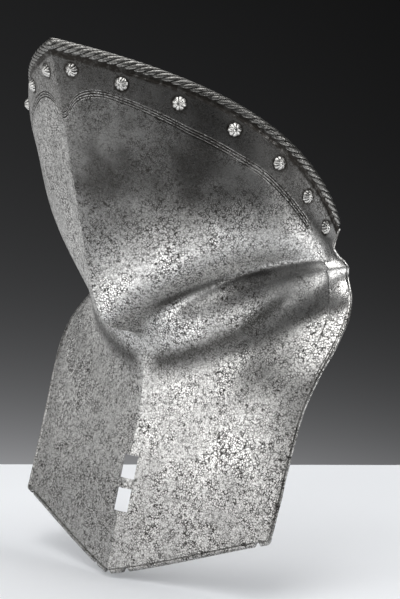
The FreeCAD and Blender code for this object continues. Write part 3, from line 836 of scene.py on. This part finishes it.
def new_material(name):
    material = bpy.data.materials.new(name)
    material.use_nodes = True
    t = Tree(material.node_tree)
    surface = material.node_tree.nodes["Principled BSDF"]
    place = t.add("ShaderNodeTexCoord").outputs["Object"]
    return material, t, surface, place


def placed(t, group, **inputs):
    node = t.add("ShaderNodeGroup")
    node.node_tree = group
    for key, value in inputs.items():
        t.put(value, node.inputs[key])
    return node


def bumped(t, height, distance, strength, surface):
    bump = t.add("ShaderNodeBump")
    bump.inputs["Distance"].default_value = distance
    bump.inputs["Strength"].default_value = strength
    t.put(height, bump.inputs["Height"])
    t.put(bump.outputs["Normal"], surface.inputs["Normal"])


def forged_steel():
    """The plate: bright warm-grey steel, pitted all over, darker and smoother above the
    engraved lines, with grime round the rivets and in the grooves. Painted shade lies
    just under the roll, in two creases below the chin and over the top of the plate;
    painted highlights lie on the rear bulge and a small glint. It is also darker and
    rougher towards the bottom and the side edge."""
    material, t, surface, place = new_material("forged_plate")
    drop, off = t.value("rim_drop"), t.value("line_off")
    inside, hem = t.value("inside"), t.value("hem")
    rivet_gap, edge_gap = t.value("rivet_gap"), t.value("edge_gap")
    band = t.math("MULTIPLY", t.ramp(off, -1.8, -3.0), t.ramp(inside, 0.5, 0.4))
    groove = t.math("MULTIPLY", t.ramp(t.math("ABSOLUTE", off), 2.6, 2.2), t.ramp(inside, 0.5, 0.4))
    strokes = t.math("ABSOLUTE", t.math("SINE", t.math("MULTIPLY", off, math.pi / LINE_STEP)))
    groove_dark = t.math("MULTIPLY", groove, t.ramp(strokes, 0.96, 0.45))
    wear_and_highlight = t.value("wear_and_highlight")
    amount = t.math("SUBTRACT", 1.0, t.math("MULTIPLY", band, 0.10))
    # Thinner pitting at the rear bulge and the glint.
    amount = t.math("MULTIPLY", amount, t.math("MULTIPLY_ADD", wear_and_highlight, -0.45, 1.0))
    pits = placed(t, PITTING, Place=place, Amount=amount)
    near_rivet = t.ramp(rivet_gap, 7.5, 4.8)
    # Painted shadow: a dark line just under the roll.
    near_roll = t.math("MULTIPLY", t.ramp(drop, 4.5, 1.5), t.ramp(inside, 0.5, 0.4))
    # Grime round the rivets, the painted shadow under the roll and the dark engraved lines.
    hollow = t.math("MAXIMUM", t.math("MULTIPLY", near_rivet, 1.0), near_roll)
    hollow = t.math("MAXIMUM", hollow, groove_dark)
    bright = t.mix(
        t.ramp(pits.outputs["Cloud"], 0.3, 0.7), (0.68, 0.675, 0.66, 1), (0.90, 0.89, 0.87, 1)
    )
    bright = t.mix(t.math("MULTIPLY", band, 0.8), bright, (0.30, 0.295, 0.285, 1))
    bright = t.mix(t.math("MULTIPLY", hem, 0.6), bright, (0.68, 0.67, 0.645, 1))
    bright = t.mix(t.math("MULTIPLY", inside, 0.6), bright, (0.27, 0.26, 0.25, 1))
    split = t.add("ShaderNodeSeparateXYZ")
    t.put(place, split.inputs[0])
    # Darker and rougher towards the bottom and near the side edge, fading out between 6 and 12 cm
    # up.
    low = t.math("MULTIPLY", t.ramp(split.outputs["Z"], 0.045, -0.030), 0.42)
    near_edge = t.math("MULTIPLY", t.ramp(edge_gap, 26.0, 4.0), 0.30)
    dull_low_and_edge = t.math("MAXIMUM", low, near_edge)
    dull_low_and_edge = t.math("MULTIPLY", dull_low_and_edge, t.ramp(split.outputs["Z"], 0.12, 0.06))
    # Painted shade over the top of the plate, in cloudy patches, heavier on the wearer's left
    # cheek.
    left_cheek_shade = t.math("MULTIPLY_ADD", t.ramp(split.outputs["X"], -0.004, 0.004), 0.52, 0.20)
    high = t.math("MULTIPLY", t.ramp(split.outputs["Z"], 0.155, 0.225), left_cheek_shade)
    shade_mottle = t.ramp(t.noise(place, 16.0, 3.0, 0.5), 0.42, 0.60)
    high = t.math("MULTIPLY", high, t.math("ADD", shade_mottle, 0.6))
    bright = t.mix(t.math("MAXIMUM", dull_low_and_edge, high), bright, (0.26, 0.256, 0.248, 1))
    # Painted highlight on the rear bulge and a small glint.
    bright = t.mix(t.math("MULTIPLY", wear_and_highlight, 0.5), bright, (0.95, 0.94, 0.92, 1))
    # Painted shade: the two creases below the chin are darkened.
    bright = t.mix(t.math("MULTIPLY", t.value("fold_shade"), 0.92), bright, (0.07, 0.069, 0.066, 1))
    pitted = t.mix(pits.outputs["Pits"], bright, (0.05, 0.047, 0.043, 1))
    # Grime, and the painted shadow under the roll, laid over the pitted colour.
    darkened = placed(
        t, GRIME_AND_SHADE, Place=place, Hollow=hollow, Clean=pitted, Dirty=(0.04, 0.036, 0.032, 1)
    )
    t.put(darkened.outputs["Color"], surface.inputs["Base Color"])
    rough = t.math("ADD", 0.25, t.math("MULTIPLY", pits.outputs["Pits"], 0.30))
    rough = t.math("ADD", rough, t.math("MULTIPLY", t.ramp(pits.outputs["Cloud"], 0.6, 0.35), 0.08))
    rough = t.math("ADD", rough, t.math("MULTIPLY", dull_low_and_edge, 0.25))
    rough = t.math("ADD", rough, t.math("MULTIPLY", darkened.outputs["Dirt"], 0.2), clamp=True)
    t.put(rough, surface.inputs["Roughness"])
    metal = t.math("SUBTRACT", 1.0, t.math("MULTIPLY", pits.outputs["Pits"], 0.15))
    t.put(metal, surface.inputs["Metallic"])
    height = t.math("ADD", t.math("MULTIPLY", pits.outputs["Pits"], -1.0),
                    t.math("MULTIPLY", pits.outputs["Fine"], 0.2))
    bumped(t, height, 0.00008, 0.15, surface)
    return material


def worn_steel(name, clean, darkened, pit_amount, smooth):
    """Steel of the small pieces: grime in the filed grooves, bright where it is rubbed."""
    material, t, surface, place = new_material(name)
    pits = placed(t, PITTING, Place=place, Amount=pit_amount)
    groove = t.ramp(t.value("groove"), 0.35, 0.95)
    brighter = tuple(c * 1.15 for c in clean[:3]) + (1,)
    toned = t.mix(t.ramp(pits.outputs["Cloud"], 0.3, 0.7), clean, brighter)
    toned = t.mix(pits.outputs["Pits"], toned, darkened)
    grimy = placed(t, GRIME_AND_SHADE, Place=place, Hollow=groove, Clean=toned, Dirty=darkened)
    t.put(grimy.outputs["Color"], surface.inputs["Base Color"])
    rough = t.math("ADD", smooth, t.math("MULTIPLY", grimy.outputs["Dirt"], 0.3))
    rough = t.math("ADD", rough, t.math("MULTIPLY", pits.outputs["Pits"], 0.25), clamp=True)
    t.put(rough, surface.inputs["Roughness"])
    surface.inputs["Metallic"].default_value = 1.0
    height = t.math("SUBTRACT", t.math("MULTIPLY", pits.outputs["Fine"], 0.4), pits.outputs["Pits"])
    bumped(t, height, 0.00012, 0.6, surface)
    return material


def old_leather():
    """Dry brown leather: fine creases between small cells, scuffs and darker edges."""
    material, t, surface, place = new_material("lining_leather")
    bent = t.shift(place, t.noise(place, 260.0, 2.0, colour=True), 0.002)
    creases = t.ramp(t.cells(bent, 520.0, "DISTANCE_TO_EDGE"), 0.10, 0.01)
    scuffs = t.ramp(t.noise(place, 70.0, 5.0, 0.65), 0.45, 0.72)
    tone = t.mix(scuffs, (0.115, 0.060, 0.032, 1), (0.22, 0.135, 0.08, 1))
    darkened = placed(t, GRIME_AND_SHADE, Place=place, Hollow=t.math("MULTIPLY", creases, 0.8), Clean=tone,
                   Dirty=(0.035, 0.02, 0.012, 1))
    t.put(darkened.outputs["Color"], surface.inputs["Base Color"])
    t.put(t.math("ADD", 0.62, t.math("MULTIPLY", scuffs, 0.2)), surface.inputs["Roughness"])
    bumped(t, t.math("MULTIPLY", creases, -1.0), 0.0003, 0.7, surface)
    return material


# Stage, light and camera

LOW_Z = -0.0655
LOOK_AT = (0.045, 0.025, 0.125)
CAMERA_PLACE = (0.9383, -0.8554, 0.2672)
CAMERA_TURN = (83.93, 0.0, 45.16)
LENS = 108.18

# The backdrop falls off from the table's edge upwards: a near glow and a far haze.
HORIZON = 0.40
HORIZON_BLEND = 0.06
GLOW, GLOW_REACH = 0.20, 0.07
HAZE, HAZE_REACH = 0.035, 0.42
FLOOR_LEVEL = 0.025


def table_top():
    """A pale table: a thick board turned to the camera, whose back edge lies behind the
    piece and comes a little nearer at its right end."""
    ahead = np.array([-0.7091, 0.7051])
    right = np.array([0.7051, 0.7091])
    near, far, half = -0.27, 0.41, 1.6
    corners = [
        ahead * near - right * half, ahead * near + right * half,
        ahead * (far - 0.03) + right * half, ahead * far - right * half,
    ]
    top = [(x, y, LOW_Z) for x, y in corners]
    bottom = [(x, y, LOW_Z - 0.03) for x, y in corners]
    mesh = bpy.data.meshes.new("table_top")
    sides = [(i, (i + 1) % 4, 4 + (i + 1) % 4, 4 + i) for i in range(4)]
    mesh.from_pydata(top + bottom, [], [(0, 1, 2, 3), (7, 6, 5, 4)] + [s[::-1] for s in sides])
    item = bpy.data.objects.new("table_top", mesh)
    bpy.context.scene.collection.objects.link(item)
    material, t, surface, place = new_material("table_white")
    surface.inputs["Roughness"].default_value = 0.55
    soft = t.noise(place, 3.0, 2.0)
    t.put(t.mix(soft, (0.84, 0.84, 0.85, 1), (0.90, 0.90, 0.91, 1)), surface.inputs["Base Color"])
    item.data.materials.append(material)


def backdrop():
    """The world: to the camera and in reflections near black above, grey at the table
    and lighter at the left; to everything else an even soft light."""
    world = bpy.data.worlds.new("studio")
    bpy.context.scene.world = world
    world.use_nodes = True
    t = Tree(world.node_tree)
    world.node_tree.nodes.clear()
    way = t.add("ShaderNodeTexCoord").outputs["Generated"]
    up = t.add("ShaderNodeSeparateXYZ")
    t.put(way, up.inputs[0])
    height = t.ramp(up.outputs["Z"], -0.40, 0.10, smooth=False)
    past = t.math("MAXIMUM", t.math("SUBTRACT", height, HORIZON), 0.0)
    glow = t.math("EXPONENT", t.math("DIVIDE", past, -GLOW_REACH))
    haze = t.math("EXPONENT", t.math("DIVIDE", past, -HAZE_REACH))
    lit = t.math("ADD", t.math("MULTIPLY", glow, GLOW), t.math("MULTIPLY", haze, HAZE))
    above = t.ramp(height, HORIZON - HORIZON_BLEND, HORIZON, smooth=False)
    level = t.math("MULTIPLY_ADD", above, t.math("SUBTRACT", lit, FLOOR_LEVEL), FLOOR_LEVEL)
    shade = t.add("ShaderNodeVectorMath", operation="SCALE")
    shade.inputs[0].default_value = (1.0, 1.01, 1.04)
    t.put(level, shade.inputs["Scale"])
    sideways = t.add("ShaderNodeVectorMath", operation="DOT_PRODUCT")
    t.put(way, sideways.inputs[0])
    sideways.inputs[1].default_value = (0.7051, 0.7091, 0.0)
    lean = t.math("MINIMUM", t.math("MAXIMUM", sideways.outputs["Value"], -0.12), 0.12)
    seen = t.add("ShaderNodeBackground")
    t.put(shade.outputs["Vector"], seen.inputs["Color"])
    t.put(t.math("MULTIPLY_ADD", lean, -2.9, 1.0), seen.inputs["Strength"])
    soft = t.add("ShaderNodeBackground")
    soft.inputs["Color"].default_value = (0.9, 0.95, 1.0, 1)
    soft.inputs["Strength"].default_value = 0.45
    path = t.add("ShaderNodeLightPath")
    direct = t.math("MAXIMUM", path.outputs["Is Camera Ray"], path.outputs["Is Glossy Ray"])
    direct = t.math("MAXIMUM", direct, path.outputs["Is Transmission Ray"])
    chosen = t.add("ShaderNodeMixShader")
    t.put(direct, chosen.inputs[0])
    t.put(soft.outputs[0], chosen.inputs[1])
    t.put(seen.outputs[0], chosen.inputs[2])
    out = t.add("ShaderNodeOutputWorld")
    t.put(chosen.outputs[0], out.inputs["Surface"])


def softbox(name, place, size, power):
    """A soft area lamp turned to the middle of the piece."""
    lamp = bpy.data.lights.new(name, "AREA")
    lamp.shape = "RECTANGLE"
    lamp.size, lamp.size_y = size
    lamp.energy = power
    item = bpy.data.objects.new(name, lamp)
    item.location = place
    aim = Vector(LOOK_AT) - Vector(place)
    item.rotation_euler = aim.to_track_quat("-Z", "Y").to_euler()
    item.visible_camera = False
    bpy.context.scene.collection.objects.link(item)
    return item


def low_card(name, place, size, power):
    """A lamp that lies on the table and shines up, for the bright reflections of the
    table in the surfaces that face down."""
    item = softbox(name, (place[0], place[1], LOW_Z + 0.007), size, power)
    item.rotation_euler = (math.pi, 0, math.radians(45))


def photographer():
    camera = bpy.data.cameras.new("camera")
    camera.lens = LENS
    camera.sensor_width = 36
    camera.clip_start = 0.01
    item = bpy.data.objects.new("camera", camera)
    item.location = CAMERA_PLACE
    item.rotation_euler = [math.radians(a) for a in CAMERA_TURN]
    bpy.context.scene.collection.objects.link(item)
    bpy.context.scene.camera = item


# Assembly

def finished(item, material, slot, *nodes):
    """Gives a piece its material, hides the CAD nodes it stands for and ties it to the body
    it rides on. The slot argument is not used."""
    item.data.materials.append(material)
    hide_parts(*nodes)
    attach(item, BODY)


plate_steel = forged_steel()
rope_steel = worn_steel("rope_steel", (0.34, 0.335, 0.32, 1), (0.02, 0.019, 0.018, 1), 0.7, 0.34)
rivet_steel = worn_steel(
    "rosette_rivets", (0.72, 0.71, 0.685, 1), (0.05, 0.047, 0.043, 1), 0.25, 0.30
)
wire_steel = worn_steel("rim_wire", (0.30, 0.285, 0.27, 1), (0.06, 0.045, 0.035, 1), 0.7, 0.45)
washer_steel = worn_steel(
    "rivet_washers", (0.34, 0.325, 0.31, 1), (0.05, 0.04, 0.032, 1), 0.6, 0.40
)
leather = old_leather()

plate = skin_object("forged_plate", *forged_plate(), keel_sharp=True)
finished(plate, plate_steel, "forged_plate", "bevor_plate")
rim = skin_object("roped_rim", *roped_rim(), sharp=60)
finished(rim, rope_steel, "forged_plate", "bevor_plate")

seats = rivet_seats()
for number, (seat, normal, along) in enumerate(zip(*seats), 1):
    for side, flip in (("left", 1), ("right", -1)):
        mirror = np.array([flip, 1, 1])
        turn = RNG.random() * 2 * np.pi
        lean = unit(normal * mirror + RNG.normal(0, 0.02, 3))
        rivet = rosette_rivet(seat * mirror, lean, unit(along * mirror), turn)
        head = skin_object("rosette_rivet_%s_%d" % (side, number), *rivet, sharp=50)
        finished(head, rivet_steel, "rosette_rivets", "lining_rivet_%s_%d" % (side, number))

KEPT = {
    "rim_wire": wire_steel, "lining_band_left": leather, "lining_band_right": leather,
}
for side in ("left", "right"):
    for number in range(1, len(RIVET_PLACES) + 1):
        KEPT["rivet_washer_%s_%d" % (side, number)] = washer_steel
for name, material in KEPT.items():
    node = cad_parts[name]
    node.data.materials.clear()
    node.data.materials.append(material)

table_top()
backdrop()
softbox("key", (-0.70, -1.52, 0.42), (1.7, 0.9), 9.6)
softbox("high_front", (0.28, -0.80, 1.35), (1.0, 0.8), 5.0)
softbox("left_back", (-1.55, 0.03, 0.05), (1.6, 1.1), 3.4)
softbox("right_side", (1.25, 0.55, 0.75), (0.3, 0.8), 5.0)
softbox("overhead", (0.0, 0.1, 1.7), (1.2, 1.2), 15.5)
low_card("front_card", (0.11, -0.25), (0.34, 0.22), 0.27)
low_card("side_card", (0.41, -0.08), (0.22, 0.26), 0.10)
low_card("rear_card", (0.62, 0.34), (0.50, 0.44), 1.3)
photographer()
bpy.context.scene.view_settings.view_transform = "Standard"
